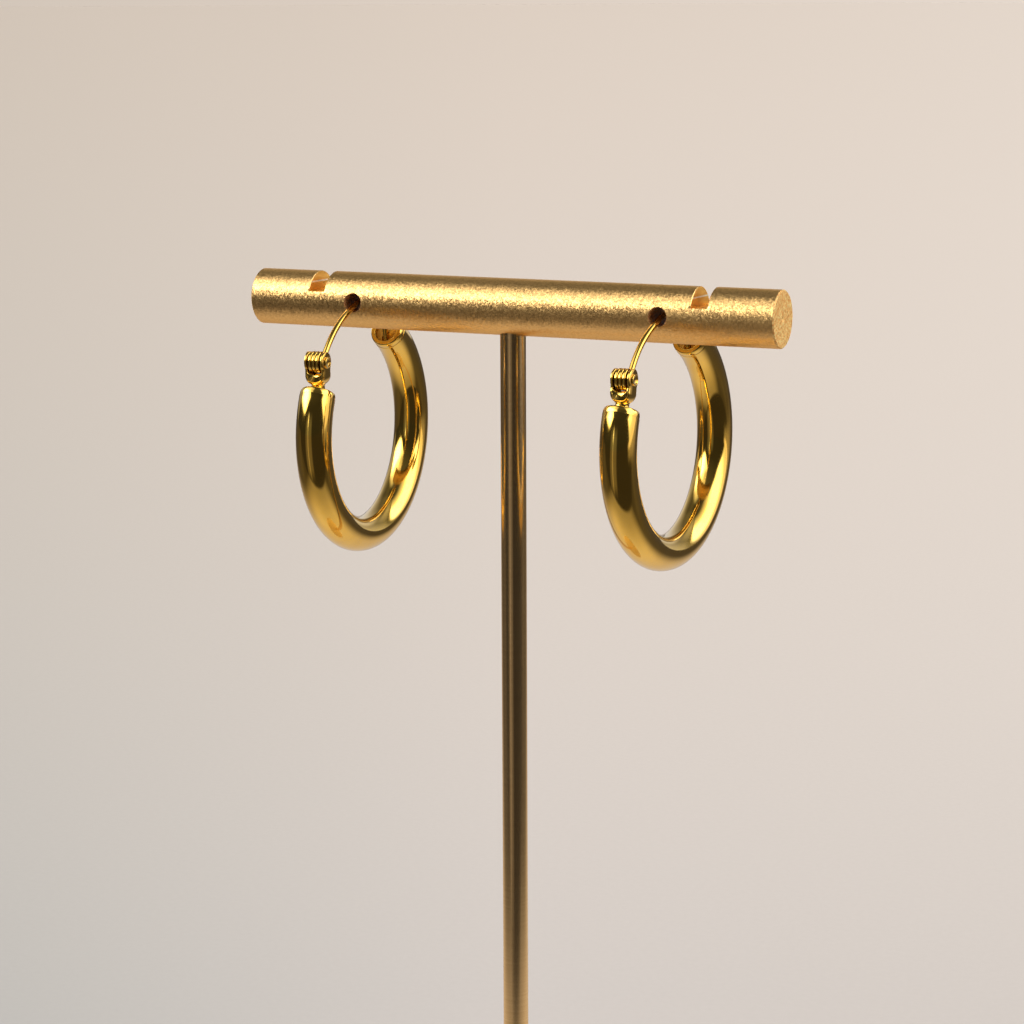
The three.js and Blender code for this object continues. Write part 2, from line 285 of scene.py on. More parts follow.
def hoop_skin(earring):
    """The tube is ring_point(t) + r (cos p X + sin p E(t)) with t running from the front end down round
    the bottom to the back end. Its front end closes in a rounded, slightly domed cap. Its back end turns
    over a lip into a shallow recess, whose floor runs in to the slanting catch hole."""
    phi = around(80)
    front, back, wall = cap_rings(phi)
    trim = math.degrees(CAP["length"] / HOOP["ring"])
    t = np.linspace(HOOP["front"] - trim, HOOP["back"] + trim, 270)[1:-1]
    middle = ring_point(t)
    tube = middle[:, None] + HOOP["tube"] * oval_ring(phi, middle)
    points = np.concatenate([front, tube, back, catch_rings(earring, back[-1], phi)])

    middle = points.mean(1)
    r = np.linalg.norm(points - middle[:, None], axis=-1)
    drawn = stacked(travelled(middle)[:, None], r * np.cos(phi), r * np.sin(phi))
    sunk = np.arange(len(points) - 1) >= len(front) + len(tube) + len(back) - wall - 1
    return skin(hang(points, earring), drawn=drawn, finish=sunk.astype(int)[:, None])


# ---- hinge ------------------------------------------------------------------
def rounded(angle, power):
    """cos and sin of an angle with their sizes raised to a power: under 1 it squares a circle's shape."""
    c, s = np.cos(angle), np.sin(angle)
    return np.sign(c) * np.abs(c) ** power, np.sign(s) * np.abs(s) ** power


def fork_outlines():
    """One half of the fork in XZ, from the top of a head to the foot: the outer outline, the gap's outline
    and the half width at each of their points."""
    half, inner, head = FORK["half"], FORK["inner"], FORK["head"]
    bend = -FORK["drop"] + half
    a = np.radians(np.linspace(90, FORK["head_ends"], 34))
    leg = np.concatenate([head * np.sin(a), np.linspace(head * np.sin(a[-1]), FORK["leg_to"], 6)[1:]])
    turn = np.radians(180 + 90 * np.linspace(0, 1, 33)[1:])
    across, down = rounded(turn, FORK["squareness"])
    outer = np.stack([np.concatenate([np.full(len(leg), -half), half * across]),
                      np.concatenate([leg, bend + half * down])], -1)
    crotch = -FORK["crotch_from"] + (FORK["crotch"] - FORK["crotch_from"]) * np.sin(turn)
    gap = np.stack([np.concatenate([np.full(len(leg), -inner), inner * np.cos(turn)]),
                    np.concatenate([leg, crotch])], -1)
    heights, widths = np.transpose(WAIST)
    waist = np.interp(outer[len(a):, 1], heights, widths)
    waist[1:-1] = (waist[:-2] + 2 * waist[1:-1] + waist[2:]) / 4
    return outer, gap, np.concatenate([head * np.cos(a), waist])


def fork_skin(earring):
    """A U standing in XZ, swept between two outlines. The outer one runs down a leg, round a squarish half
    circle (-h |cos t|^k, b - h |sin t|^k) and up the other leg. The inner one rounds off in half an ellipse
    under the knuckle. A ring of the sweep is middle + half * sgn(c)|c|^0.6 between them and
    W sgn(s)|s|^0.7 across, where W follows the round heads, W = sqrt(h^2 - z^2), then narrows to the
    foot."""
    outer, gap, width = fork_outlines()
    flip = np.array([-1.0, 1.0])
    outer = np.concatenate([outer, outer[-2::-1] * flip])
    gap = np.concatenate([gap, gap[-2::-1] * flip])
    width = np.concatenate([width, width[-2::-1]])
    middle, reach = (outer + gap) / 2, (outer - gap) / 2
    p = around(40)
    c, _ = rounded(p, FORK["sides"])
    _, s = rounded(p, FORK["faces"])
    ring = middle[:, None] + reach[:, None] * c[:, None]
    points = stacked(ring[..., 0], width[:, None] * s, ring[..., 1])
    pin, _, lean = fork_frame(earring)
    return skin(hang(points @ lean.T + pin, earring), drawn=points)


def neck_skin(earring):
    """The soldered neck between cap and fork: a turned profile whose radius flares out at both ends by
    f e^(-distance / creep), as solder creeps, with a bead on its front that swells it by
    1 + b e^(-((turn - t) / spread)^2) e^(-((height - h) / tall)^2)."""
    pin, reach, lean = fork_frame(earring)
    z = np.linspace(-reach - NECK["into_cap"], -FORK["drop"] + NECK["into_fork"], 26)
    low = np.maximum(z + reach, 0)
    high = np.maximum(-FORK["drop"] + NECK["fork_from"] - z, 0)
    r = (NECK["radius"] + NECK["cap_flare"] * np.exp(-low / NECK["cap_creep"])
         + NECK["fork_flare"] * np.exp(-high / NECK["fork_creep"]))
    r[[0, -1]] = 0
    z[[0, -1]] = z[[1, -2]]
    points = turned(np.stack([r, z], -1), 40)
    turn = np.arctan2(points[..., 1], points[..., 0])
    height = points[..., 2] + reach
    bead = 1 + (BEAD["swell"] * np.exp(-((turn - BEAD["turn"]) / BEAD["spread"]) ** 2)
                * np.exp(-((height - BEAD["height"]) / BEAD["tall"]) ** 2))
    points[..., :2] *= bead[..., None]
    return skin(hang(points @ lean.T + pin, earring), drawn=points)


def pin_skin(earring):
    """A rivet about X: a shank with a low head at each end, rounded at its rim and dished in the middle,
    z = top - dish (1 - (r / r0)^2)."""
    end, roll, chamfer = FORK["half"], PIN["roll"], PIN["chamfer"]
    flat = PIN["head"] - roll
    top = end + PIN["height"]
    dished = [(r, top - PIN["dish"] * (1 - (r / flat) ** 2)) for r in np.linspace(flat, 0, 12)[1:]]
    head = [(PIN["radius"], end - PIN["tuck"]), (PIN["head"] - chamfer, end), (PIN["head"], end + chamfer)]
    head += arc((flat, top - roll), (roll, roll), 0, 90, 6) + dished
    profile = [(r, -z) for r, z in head[::-1]] + head
    points = onto_x(turned(profile, 48))
    return skin(hang(points + np.array(earring["pin"]), earring), drawn=points)


def knuckle_skin(earring):
    """Three turns of flattened wire side by side round the pin, as one ring. Over each turn's half width w
    the outside is r = R - g(a) |u / w|^4.5, with u from the turn's middle, and the groove's depth g falls
    to a third on the underside, where solder fills it. The inside is a plain bore. Faces low in a groove
    are dull and near-black: painted shade between the turns."""
    half, ridges, bore, shoulder = (KNUCKLE[key] for key in ("half", "ridges", "bore", "shoulder"))
    w = half / ridges
    u = np.linspace(-w, w, 19)
    dip = np.tile(KNUCKLE["groove"] * np.abs(u / w) ** KNUCKLE["sharpness"], ridges)
    middle = w * (2 * np.arange(ridges) + 1) - half
    outside = np.stack([KNUCKLE["radius"] - dip, (middle[:, None] + u).ravel()], -1)
    inside = np.array([[shoulder, half], [bore, half], [bore, 0], [bore, -half], [shoulder, -half]])
    profile = np.concatenate([outside, inside])
    points = turned(profile, 72)
    under = (0.5 + 0.5 * np.cos(around(72))) ** 3
    solder = KNUCKLE["fill"] * under * np.append(dip, np.zeros(len(inside)))[:, None]
    points[..., :2] *= (1 + solder / profile[:, :1])[..., None]
    points = onto_x(points)
    low = np.abs(u[:-1] + u[1:]) / 2 / w > KNUCKLE["dull_shade_from"]
    # Faces low in a groove get the dark finish: painted shade.
    dull_and_shaded = np.append(np.tile(np.append(low, True), ridges), np.zeros(len(inside), bool))
    return skin(hang(points + np.array(earring["pin"]), earring), close_rows=True, drawn=points,
                finish=dull_and_shaded.astype(int)[:, None])


# ---- ear wire ---------------------------------------------------------------
def cubic(a, a_way, a_handle, b, b_way, b_handle, count):
    """Points of the cubic (1-t)^3 a + 3(1-t)^2 t p + 3(1-t) t^2 q + t^3 b, where the handles p and q lie
    along the given ways from a and b."""
    t = np.linspace(0, 1, count)[:, None]
    p = a + a_way * a_handle
    q = b - b_way * b_handle
    return (1 - t) ** 3 * a + 3 * (1 - t) ** 2 * t * p + 3 * (1 - t) * t ** 2 * q + t ** 3 * b


def slope(degrees):
    """The unit vector (0, cos d, sin d)."""
    return np.array([0.0, math.cos(math.radians(degrees)), math.sin(math.radians(degrees))])


def wire_path(earring):
    """The wire's centre line: straight out of the knuckle's back, up to the bore's front mouth, over a low
    crown inside the bar and down from the back mouth into the catch."""
    pin = np.array(earring["pin"])
    face, down = catch_place(earring)
    turn = turn_of(earring)
    ends = np.array([pin + FOOT, pin + SHOULDER, face + WIRE["tip_depth"] * down])
    foot, shoulder, tip = hang(ends, earring)
    leave = turn @ slope(WIRE["leave"])
    front = np.array([earring["wire_x"], -MOUTH["y"], BAR["z"] + MOUTH["front_z"]])
    back = np.array([earring["wire_x"], MOUTH["y"], BAR["z"] + MOUTH["back_z"]])
    climb, fall, h = slope(MOUTH["climb"]), slope(MOUTH["fall"]), HANDLES
    spans = [cubic(foot, leave, h["foot"], shoulder, leave, h["foot"], 13),
             cubic(shoulder, leave, h["shoulder"], front, climb, h["front_mouth"], 61),
             cubic(front, climb, h["crown"], back, fall, h["crown"], 61),
             cubic(back, fall, h["back_mouth"], tip, turn @ down, h["tip"], 61)]
    return np.concatenate([spans[0]] + [s[1:] for s in spans[1:]])


def wire_skin(earring):
    """A round section of radius r carried along the path, square to it: c + r (cos p N + sin p B). The
    radius swells at the knuckle by f e^(-((s - s0) / spread)^2), s being the length from the start, and
    closes in a quarter circle at the tip."""
    path = wire_path(earring)
    ahead = unit(np.gradient(path, axis=0))
    along = travelled(path)
    side = unit(X_AXIS - ahead * (ahead @ X_AXIS)[:, None])
    up = np.cross(ahead, side)
    r = WIRE["radius"]
    radius = r + WIRE["flare"] * np.exp(-((along - WIRE["flare_at"]) / WIRE["flare_spread"]) ** 2)
    keep = along < along[-1] - r
    tip = np.radians(np.linspace(0, 90, 10))
    closing = r * np.sin(tip)
    path = np.concatenate([path[:1], path[keep], path[keep][-1] + ahead[-1] * closing[:, None]])
    radius = np.concatenate([[0], radius[keep], r * np.cos(tip)])
    side = np.concatenate([side[:1], side[keep], np.repeat(side[-1:], len(tip), 0)])
    up = np.concatenate([up[:1], up[keep], np.repeat(up[-1:], len(tip), 0)])
    along = np.concatenate([[0], along[keep], along[keep][-1] + closing])
    wide, tall = radius[:, None] * np.cos(around(32)), radius[:, None] * np.sin(around(32))
    points = path[:, None] + wide[..., None] * side[:, None] + tall[..., None] * up[:, None]
    return skin(points, drawn=stacked(along[:, None], wide, tall))


# ---- stand ------------------------------------------------------------------
# Places of the crossbar's finishes in its list, after the blasted skin's.
DRILLED, SAWN, BAR_END = 1, 2, 3


def on_bar(x, phi, radius=BAR["radius"]):
    """The point (x, -r cos p, r sin p) on the crossbar, with p in radians from the front."""
    return stacked(x, -radius * np.cos(phi), radius * np.sin(phi))


def rim_patch(x, phi, x0, phi0, hole, mirror=False):
    """The skin between a drilled hole's mouth and the square of bar grid points round it. The mouth's
    point at angle b is (x0 + r cos b, phi0 + asin(r sin b / R)); rows run from it out to the square in
    straight lines in (x, phi). Returns the rows and the angles b."""
    edge_x = np.concatenate([x[:-1], np.full(len(phi) - 1, x[-1]), x[:0:-1], np.full(len(phi) - 1, x[0])])
    edge_p = np.concatenate([np.full(len(x) - 1, phi[0]), phi[:-1], np.full(len(x) - 1, phi[-1]), phi[:0:-1]])
    b = np.arctan2(BAR["radius"] * np.sin(edge_p - phi0), edge_x - x0)
    mouth_x = x0 + hole * np.cos(b)
    mouth_p = phi0 + np.arcsin(hole * np.sin(b) / BAR["radius"])
    k = (np.linspace(0, 1, 9) ** 1.4)[:, None]
    rows_x = mouth_x * (1 - k) + edge_x * k
    rows_p = mouth_p * (1 - k) + edge_p * k
    if mirror:
        rows_p = math.pi - rows_p
    return on_bar(rows_x, rows_p), b


def bar_grid():
    """The crossbar's stations along X and its angles in radians. Every hole's field, slot wall and slot
    floor starts and stops on one of them."""
    floor_angle = math.degrees(math.asin(SLOT["floor"] / BAR["radius"]))
    bore, socket = BORE_FIELD["angle"], SOCKET_FIELD["angle"]
    stops = [-90 - socket, -90 + socket, -bore, floor_angle, bore, 90, 180 - bore, 180 - floor_angle,
             180 + bore, 270 - socket]
    phi = np.radians(between(stops, [22, 6, 14, 3, 16, 16, 3, 14, 6]))[:-1]
    places = [0, SOCKET_FIELD["half"], BORE["x"] - BORE_FIELD["half"], BORE["x"] + BORE_FIELD["half"],
              SLOT["start"] - SLOT["edge"], SLOT["start"], SLOT["stop"], SLOT["stop"] + SLOT["edge"],
              BAR["half"] - BAR["edge"]]
    right = between(places, [7, 40, 12, 6, 1, 6, 1, 20])
    return np.concatenate([-right[:0:-1], right]), phi


def slotted_rings(x, phi):
    """The crossbar's rings and their places along X. Between a slot's walls a ring's height is held down to
    the slot's floor, z = min(z, floor). A slot wall has two rings at one place, the held one on the slot's
    side and one just inside the full bar, as a broken edge, on the other."""
    rings = on_bar(x[:, None], phi[None])
    in_slot = (np.abs(x) >= SLOT["start"] - TOUCH) & (np.abs(x) <= SLOT["stop"] + TOUCH)
    at_wall = np.abs(np.abs(x)[:, None] - [SLOT["start"], SLOT["stop"]]).min(1) < TOUCH
    above = rings[..., 2] > SLOT["floor"] + TOUCH
    shrink = 1 - SLOT["edge"] / BAR["radius"]
    broken = np.where((at_wall[:, None] & above)[..., None], rings * [1, shrink, shrink], rings)
    level = rings.copy()
    level[..., 2] = SLOT["floor"]
    held = np.where((in_slot[:, None] & above)[..., None], level, rings)

    station = np.repeat(np.arange(len(x)), 1 + at_wall)
    second = np.append(False, station[1:] == station[:-1])
    outer_wall = np.abs(np.abs(x) - SLOT["stop"]) < TOUCH
    full_comes_second = outer_wall != (x < 0)
    full = at_wall[station] & (second == full_comes_second[station])
    return np.where(full[:, None, None], broken[station], held[station]), x[station]


def bore_patches(x, phi, x0):
    """A through-bore at x0: the skin round its two mouths, and its wall, whose point at angle b is
    (x0 + r cos b, y, r sin b) with y from one mouth to the other."""
    r, edge = BORE["radius"], BORE["edge"]
    grid_x = x[np.abs(x - x0) < BORE_FIELD["half"] + TOUCH]
    grid_p = phi[np.abs(phi) < math.radians(BORE_FIELD["angle"]) + TOUCH]
    ahead, b = rim_patch(grid_x, grid_p, x0, 0.0, r + edge)
    behind, _ = rim_patch(grid_x, grid_p, x0, 0.0, r + edge, mirror=True)
    reach = np.sqrt(BAR["radius"] ** 2 - (r * np.sin(b)) ** 2) - edge
    run = np.linspace(-1, 1, 30)[:, None]
    wall = stacked(x0 + r * np.cos(b), run * reach, r * np.sin(b))
    inside = np.concatenate([ahead[:1], wall, behind[:1]])
    return [skin(ahead), skin(behind), skin(inside, finish=DRILLED)]


def socket_patches(x, phi, under):
    """The blind hole for the post in the bar's underside: the skin round its mouth, its wall and its flat
    ceiling."""
    grid_x = x[np.abs(x) < SOCKET_FIELD["half"] + TOUCH]
    grid_p = phi[np.abs(phi - under) < math.radians(SOCKET_FIELD["angle"]) + TOUCH]
    mouth, _ = rim_patch(grid_x, grid_p, 0.0, under, BAR["socket"])
    top = -BAR["radius"] + BAR["socket_depth"]
    ceiling = stacked(mouth[0, :, 0], mouth[0, :, 1], top)
    middle = np.broadcast_to([0.0, 0.0, top], ceiling.shape)
    return [skin(mouth), skin(np.stack([mouth[0], ceiling, middle]))]


def end_patches(phi):
    """The flat ends, out to their broken edges, with a lathe centre in each: a dimple d e^(-(r / s)^2)."""
    reach, flat = LATHE_CENTRE["reach"], BAR["radius"] - BAR["edge"]
    r = np.concatenate([np.linspace(0, reach, 9), np.linspace(reach, flat, 10)[1:]])
    dimple = LATHE_CENTRE["depth"] * np.exp(-(r / LATHE_CENTRE["spread"]) ** 2)
    patches = []
    for sign in (-1, 1):
        disc = on_bar(sign * (BAR["half"] - dimple)[:, None], phi[None], r[:, None])
        rim = on_bar(sign * (BAR["half"] - BAR["edge"]), phi)
        patches.append(skin(np.concatenate([disc, rim[None]]), finish=BAR_END))
    return patches


def bar_patches():
    """The crossbar: rings (x, -R cos p, R sin p) carried along X, with two slots sawn across the top. The
    faces in each hole's field give way to the hole's own patches."""
    x, phi = bar_grid()
    rings, places = slotted_rings(x, phi)
    keep = np.ones((len(places) - 1, len(phi)), bool)
    mid_x = (places[:-1] + places[1:]) / 2
    mid_p = phi + (np.append(phi[1:], phi[0] + 2 * math.pi) - phi) / 2
    under = math.radians(-90)
    fields = [(x0, phi0, BORE_FIELD) for x0 in (-BORE["x"], BORE["x"]) for phi0 in (0.0, math.pi)]
    for x0, phi0, field in fields + [(0.0, under, SOCKET_FIELD)]:
        near = np.abs(mid_x - x0) < field["half"]
        keep[np.ix_(near, np.abs(mid_p - phi0) < math.radians(field["angle"]))] = False
    patches = bore_patches(x, phi, -BORE["x"]) + bore_patches(x, phi, BORE["x"])
    patches += socket_patches(x, phi, under) + end_patches(phi)

    in_slot = (np.abs(mid_x) > SLOT["start"] - TOUCH) & (np.abs(mid_x) < SLOT["stop"] + TOUCH)
    high = np.sin(mid_p) * BAR["radius"] > SLOT["floor"]
    patches.append(skin(rings, keep=keep, finish=np.where(in_slot[:, None] & high, SAWN, 0)))
    return [(p + [0, 0, BAR["z"]], faces, drawn, finish) for p, faces, drawn, finish in patches]


def base_skin():
    """A turned disc with rounded edges and a socket for the post, chamfered at its mouth."""
    r, h, e = BASE["radius"], BASE["height"], BASE["edge"]
    low = arc((r - e, e), (e, e), -90, 0, 8)
    high = arc((r - e, h - e), (e, e), 0, 90, 8)
    flat = [(x, 0.0) for x in np.linspace(0, r - e, 12)[:-1]]
    top = [(x, h) for x in np.linspace(r - e, BASE["socket"] + BASE["chamfer"], 24)[1:]]
    wall = [(BASE["socket"], h - BASE["chamfer"]), (BASE["socket"], h - BASE["socket_depth"])]
    return skin(turned(flat + low + high + top + wall + [(0, h - BASE["socket_depth"])], 160))


def post_skin():
    """A turned rod with a small broken edge at each end."""
    r, e = POST["radius"], POST["edge"]
    low, high = POST["low"], POST["high"]
    side = [(r, z) for z in np.linspace(low + e, high - e, 120)]
    return skin(turned([(0, low), (r - e, low)] + side + [(r - e, high), (0, high)], 64))


# ---- finishes ---------------------------------------------------------------
# Metres, by dot(place, way): where painted shade darkens the slot's metal low down, and its pale line of
# painted glint.
SLOT_SHADE = dict(way=(0.0, 0.12, 1.0), below=0.1181, above=0.1192)
SLOT_GLINT = dict(way=(0.0, 0.02, 1.0), height=0.1189, core=0.00004, edge=0.00011, strength=0.95)


class Finish:
    """A node tree under construction."""

    def __init__(self, tree):
        self.tree = tree
        tree.nodes.clear()

    def add(self, kind, settings=None, **inputs):
        """Makes a node, sets its properties, then sets or links its inputs. An input is named with _ for
        each space, or by its number after a _."""
        node = self.tree.nodes.new(kind)
        for key, value in (settings or {}).items():
            setattr(node, key, value)
        for key, value in inputs.items():
            socket = node.inputs[int(key[1:])] if key[0] == "_" else node.inputs[key.replace("_", " ")]
            if isinstance(value, bpy.types.NodeSocket):
                self.tree.links.new(value, socket)
            else:
                socket.default_value = value
        return node

    def math(self, operation, *values):
        """One Math node's result."""
        inputs = {f"_{i}": v for i, v in enumerate(values)}
        return self.add("ShaderNodeMath", {"operation": operation}, **inputs).outputs[0]

    def times(self, first, *others):
        """The product of all the values."""
        for value in others:
            first = self.math("MULTIPLY", first, value)
        return first

    def total(self, first, *others):
        """The sum of all the values."""
        for value in others:
            first = self.math("ADD", first, value)
        return first

    def noise(self, place, scale, detail, roughness=0.5):
        """A noise pattern from 0 to 1, with so many cells to each unit of place."""
        return self.add("ShaderNodeTexNoise", Vector=place, Scale=scale, Detail=detail,
                        Roughness=roughness).outputs[0]

    def stretched(self, place, scale):
        """The place (a x, b y, c z): a pattern runs longest along the axis with the smallest scale."""
        return self.add("ShaderNodeMapping", Vector=place, Scale=scale).outputs[0]

    def vector(self, operation, *values, result="Vector", **inputs):
        """One Vector Math node's result."""
        inputs.update({f"_{i}": v for i, v in enumerate(values)})
        return self.add("ShaderNodeVectorMath", {"operation": operation}, **inputs).outputs[result]

    def scaled(self, vector, amount):
        """The vector times a number."""
        return self.vector("SCALE", vector, Scale=amount)

    def length(self, vector):
        """The square root of x^2 + y^2 + z^2."""
        return self.vector("LENGTH", vector, result="Value")

    def dot(self, vector, way):
        """x a + y b + z c, how far the vector reaches along a unit way (a, b, c)."""
        return self.vector("DOT_PRODUCT", vector, way, result="Value")

    def ramp(self, value, low, high, out_low, out_high, smooth=False):
        """The value carried from low..high to out_low..out_high, and held past both ends."""
        kind = "SMOOTHSTEP" if smooth else "LINEAR"
        made = self.add("ShaderNodeMapRange", {"interpolation_type": kind}, Value=value, From_Min=low,
                        From_Max=high, To_Min=out_low, To_Max=out_high)
        return made.outputs["Result"]

    def blend(self, share, first, second, how="MIX"):
        """first (1 - share) + second share, or at share 1 with MULTIPLY, first times second."""
        settings = {"data_type": "RGBA", "blend_type": how}
        return self.add("ShaderNodeMix", settings, _0=share, _6=first, _7=second).outputs[2]

    def colours(self, value, stops):
        """The colour at a value from 0 to 1 between (place, colour) stops."""
        node = self.add("ShaderNodeValToRGB", Fac=value)
        elements = node.color_ramp.elements
        while len(elements) < len(stops):
            elements.new(0.5)
        for element, (place, colour) in zip(elements, stops):
            element.position = place
            element.color = colour
        return node.outputs["Color"]


def new_finish(name):
    """An empty material, its node tree, and the piece's own coordinates in metres."""
    material = bpy.data.materials.new(name)
    material.use_nodes = True
    f = Finish(material.node_tree)
    return material, f, f.add("ShaderNodeTexCoord").outputs["Object"]


def finished(material, f, strength, distance, height, under=None, **sockets):
    """Ends a material in one surface shader, with its bump in metres over the given normal."""
    bump = f.add("ShaderNodeBump", Strength=strength, Distance=distance, Height=height)
    if under is not None:
        f.tree.links.new(under, bump.inputs["Normal"])
    shader = f.add("ShaderNodeBsdfPrincipled", Normal=bump.outputs[0], **sockets)
    f.add("ShaderNodeOutputMaterial", Surface=shader.outputs[0])
    return material


def polished_gold():
    """Bright gold plate under a clear lacquer: faint cloudiness in its colour and gloss, fine orange peel,
    and hair scratches that follow the way the tube and wire were drawn."""
    material, f, place = new_finish("polished_gold_plate")
    drawn = f.add("ShaderNodeAttribute", {"attribute_name": "drawn"}).outputs["Vector"]
    cloud = f.noise(place, 420.0, 3.0)
    peel = f.noise(place, 3200.0, 2.0)
    hairs = f.noise(f.stretched(drawn, (260.0, 5200.0, 5200.0)), 1.0, 4.0, 0.7)
    colour = f.colours(cloud, [(0.3, (0.86, 0.54, 0.07, 1)), (0.7, (0.91, 0.595, 0.095, 1))])
    gloss = f.total(f.ramp(cloud, 0.3, 0.75, 0.075, 0.115), f.ramp(hairs, 0.55, 0.8, 0.0, 0.05))
    height = f.total(f.times(peel, 0.35), f.times(hairs, 0.65))
    return finished(material, f, 0.16, 0.000012, height, Base_Color=colour, Metallic=1.0, Roughness=gloss,
                    Coat_Weight=1.0, Coat_Roughness=0.05, Coat_IOR=1.5)


def dull_dark_gold(name, low, high):
    """Dull gold, darker than the polished plate, mottled between two tones."""
    material, f, place = new_finish(name)
    mottle = f.noise(place, 5200.0, 3.0)
    colour = f.colours(mottle, [(0.3, low), (0.7, high)])
    gloss = f.ramp(mottle, 0.3, 0.7, 0.3, 0.42)
    return finished(material, f, 0.3, 0.00001, mottle, Base_Color=colour, Metallic=1.0, Roughness=gloss)


def faceted(f, place, sizes):
    """A surface direction thrown about by blasting: the normal plus a random lean for each small cell, for
    cells of several sizes given as (cells per metre, lean)."""
    total = f.add("ShaderNodeNewGeometry").outputs["Normal"]
    for scale, amount in sizes:
        cell = f.add("ShaderNodeTexVoronoi", Vector=place, Scale=scale).outputs["Color"]
        lean = f.scaled(f.vector("SUBTRACT", cell, (0.5, 0.5, 0.5)), amount)
        total = f.vector("ADD", total, lean)
    return f.vector("NORMALIZE", total)


def blasted_gold(name, low, high, rough_low, rough_high, lean=1.0):
    """Sand-blasted champagne gold anodising: every grain of the blasting left a small facet."""
    material, f, place = new_finish(name)
    grain = f.noise(place, 4200.0, 3.0, 0.65)
    cloud = f.noise(place, 160.0, 2.0)
    mean = tuple((a + b) / 2 for a, b in zip(low, high))
    colour = f.colours(grain, [(0.36, low), (0.60, high)])
    tint = f.blend(f.ramp(cloud, 0.35, 0.7, 0.0, 0.35), colour, mean)
    gloss = f.ramp(grain, 0.3, 0.7, rough_low, rough_high)
    facets = faceted(f, place, [(7600.0, 0.17 * lean), (4200.0, 0.06 * lean)])
    return finished(material, f, 0.3, 0.00003, grain, under=facets, Base_Color=tint, Metallic=1.0,
                    Roughness=gloss, Specular_Tint=(1.0, 0.80, 0.55, 1), Coat_Weight=0.08,
                    Coat_Roughness=0.3, Coat_IOR=1.5)


def drilled_wall_in_painted_shade():
    """The rough inside of a drilled hole, a dark non-metal brown that paints the shade in the bore, with
    rings left by the drill.
    """
    material, f, place = new_finish("painted_shade_drilled_wall")
    grain = f.noise(place, 3000.0, 3.0)
    rings = f.add("ShaderNodeTexWave", {"bands_direction": "Y"}, Vector=place, Scale=900.0, Distortion=2.0,
                  Detail=1.0).outputs["Fac"]
    colour = f.colours(grain, [(0.3, (0.26, 0.11, 0.04, 1)), (0.7, (0.50, 0.24, 0.09, 1))])
    gloss = f.ramp(grain, 0.3, 0.7, 0.5, 0.65)
    return finished(material, f, 0.4, 0.00003, f.total(rings, grain), Base_Color=colour, Metallic=0.0,
                    Roughness=gloss)


def sawn_gold():
    """Saw-cut metal in a warmer, smoother gold, partly its own colour and partly painted light bounced
    between the slot's walls, with painted shade low in the slot, fine lines along the cut and one pale line
    of painted glint. The shade and the glint run at a slight slope across the bar."""
    material, f, place = new_finish("saw_cut_warm_gold")
    lines = f.noise(f.stretched(place, (5000.0, 420.0, 3800.0)), 1.0, 3.0)
    bright = f.colours(lines, [(0.3, (0.88, 0.46, 0.08, 1)), (0.7, (0.98, 0.62, 0.16, 1))])
    shaded_low = f.colours(lines, [(0.3, (0.78, 0.40, 0.05, 1)), (0.7, (0.94, 0.53, 0.09, 1))])
    # Painted shade: the slot's metal turns darker low down.
    low = f.ramp(f.dot(place, SLOT_SHADE["way"]), SLOT_SHADE["below"], SLOT_SHADE["above"], 1.0, 0.0, smooth=True)
    level = f.math("SUBTRACT", f.dot(place, SLOT_GLINT["way"]), SLOT_GLINT["height"])
    # A pale line of painted glint across the slot's wall.
    glint = f.ramp(f.math("ABSOLUTE", level), SLOT_GLINT["core"], SLOT_GLINT["edge"], SLOT_GLINT["strength"], 0.0)
    colour = f.blend(glint, f.blend(low, bright, shaded_low), (1.0, 0.93, 0.78, 1))
    gloss = f.ramp(lines, 0.3, 0.7, 0.38, 0.50)
    return finished(material, f, 0.35, 0.00002, lines, Base_Color=colour, Metallic=0.75, Roughness=gloss)


def satin_gold():
    """Satin champagne gold on a turned rod: fine rings round it and a soft sheen."""
    material, f, place = new_finish("satin_champagne_gold")
    rings = f.noise(f.stretched(place, (160.0, 160.0, 5200.0)), 1.0, 3.0)
    grain = f.noise(place, 4200.0, 2.0)
    colour = f.colours(rings, [(0.3, (0.83, 0.58, 0.28, 1)), (0.7, (0.91, 0.66, 0.34, 1))])
    gloss = f.ramp(grain, 0.3, 0.7, 0.18, 0.21)
    height = f.total(f.times(rings, 0.6), f.times(grain, 0.4))
    return finished(material, f, 0.08, 0.000003, height, Base_Color=colour, Metallic=1.0, Roughness=gloss)


GOLD = [polished_gold()]
# The knuckle's grooves: dull, near-black gold as painted shade between the turns.
GROOVED = GOLD + [dull_dark_gold("painted_shade_in_grooves", (0.10, 0.045, 0.010, 1),
                                 (0.30, 0.16, 0.035, 1))]
# The cap's recess and catch hole: a darker, duller gold.
RECESSED = GOLD + [dull_dark_gold("satin_gold_in_cap", (0.50, 0.27, 0.05, 1), (0.66, 0.40, 0.09, 1))]
BLASTED = blasted_gold("sand_blasted_champagne_gold", (0.72, 0.45, 0.17, 1), (0.90, 0.59, 0.24, 1),
                       0.29, 0.40)
BLASTED_END = blasted_gold("blasted_bar_end", (0.82, 0.36, 0.08, 1), (1.0, 0.84, 0.42, 1), 0.62, 0.76, 2.2)
MATT = blasted_gold("matt_blasted_base", (0.80, 0.58, 0.32, 1), (0.92, 0.70, 0.42, 1), 0.52, 0.62)

